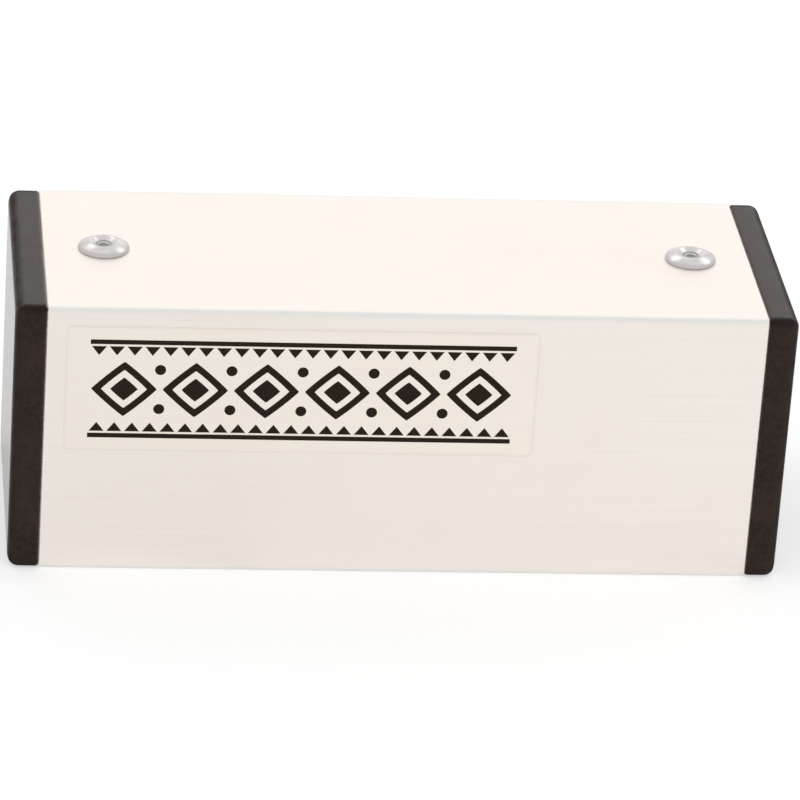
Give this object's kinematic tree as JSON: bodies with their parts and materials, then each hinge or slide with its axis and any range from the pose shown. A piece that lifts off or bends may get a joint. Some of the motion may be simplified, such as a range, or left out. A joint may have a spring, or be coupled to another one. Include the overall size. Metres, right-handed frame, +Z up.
{
  "type": "percussion shaker",
  "caption": "Hand-held percussion shaker: square aluminium tube closed by riveted black plastic end plugs, with loose steel shot that rolls from end to end.",
  "frame": {"origin": "middle of the bottom face of the tube, on the surface that the shaker lies on", "axes": "+X along the tube towards the right-hand cap as seen from the label side, -Y out of the label side, +Z up out of the face with the rivets"},
  "size_m": [0.1204, 0.0445, 0.0457],
  "materials": {
    "tube_alloy": "satin, fine lengthwise grain",
    "cap_plastic": "satin moulded black",
    "rivet_alloy": "bright",
    "pin_steel": "broken end, dull",
    "label_film": "clear adhesive film with black print",
    "shot_steel": "polished balls"
  },
  "bodies": {
    "shaker_body": {"body_tube": "tube_alloy", "left_end_cap": "cap_plastic", "right_end_cap": "cap_plastic", "left_rivet": "rivet_alloy", "right_rivet": "rivet_alloy", "left_rivet_pin": "pin_steel", "right_rivet_pin": "pin_steel", "label_film": "label_film"},
    "shot_row_01_balls": {"shot_row_01": "shot_steel"},
    "shot_row_02_balls": {"shot_row_02": "shot_steel"},
    "shot_row_03_balls": {"shot_row_03": "shot_steel"},
    "shot_row_04_balls": {"shot_row_04": "shot_steel"},
    "shot_row_05_balls": {"shot_row_05": "shot_steel"},
    "shot_row_06_balls": {"shot_row_06": "shot_steel"},
    "shot_row_07_balls": {"shot_row_07": "shot_steel"},
    "shot_row_08_balls": {"shot_row_08": "shot_steel"},
    "shot_row_09_balls": {"shot_row_09": "shot_steel"},
    "shot_row_10_balls": {"shot_row_10": "shot_steel"},
    "shot_row_11_balls": {"shot_row_11": "shot_steel"},
    "shot_row_12_balls": {"shot_row_12": "shot_steel"}
  },
  "joints": [
    {"name": "shot_row_01_slide", "type": "slide", "parent": "shaker_body", "child": "shot_row_01_balls", "axis": [1, 0, 0], "range_m": [-0.0341, 0.0165]},
    {"name": "shot_row_02_slide", "type": "slide", "parent": "shaker_body", "child": "shot_row_02_balls", "axis": [1, 0, 0], "range_m": [-0.0123, 0.0382]},
    {"name": "shot_row_03_slide", "type": "slide", "parent": "shaker_body", "child": "shot_row_03_balls", "axis": [1, 0, 0], "range_m": [-0.0356, 0.015]},
    {"name": "shot_row_04_slide", "type": "slide", "parent": "shaker_body", "child": "shot_row_04_balls", "axis": [1, 0, 0], "range_m": [-0.023, 0.0275]},
    {"name": "shot_row_05_slide", "type": "slide", "parent": "shaker_body", "child": "shot_row_05_balls", "axis": [1, 0, 0], "range_m": [-0.0183, 0.0323]},
    {"name": "shot_row_06_slide", "type": "slide", "parent": "shaker_body", "child": "shot_row_06_balls", "axis": [1, 0, 0], "range_m": [-0.0378, 0.0127]},
    {"name": "shot_row_07_slide", "type": "slide", "parent": "shaker_body", "child": "shot_row_07_balls", "axis": [1, 0, 0], "range_m": [-0.0137, 0.0368]},
    {"name": "shot_row_08_slide", "type": "slide", "parent": "shaker_body", "child": "shot_row_08_balls", "axis": [1, 0, 0], "range_m": [-0.0297, 0.0208]},
    {"name": "shot_row_09_slide", "type": "slide", "parent": "shaker_body", "child": "shot_row_09_balls", "axis": [1, 0, 0], "range_m": [-0.0302, 0.0203]},
    {"name": "shot_row_10_slide", "type": "slide", "parent": "shaker_body", "child": "shot_row_10_balls", "axis": [1, 0, 0], "range_m": [-0.0135, 0.0371]},
    {"name": "shot_row_11_slide", "type": "slide", "parent": "shaker_body", "child": "shot_row_11_balls", "axis": [1, 0, 0], "range_m": [-0.0377, 0.0129]},
    {"name": "shot_row_12_slide", "type": "slide", "parent": "shaker_body", "child": "shot_row_12_balls", "axis": [1, 0, 0], "range_m": [-0.0188, 0.0318]}
  ]
}
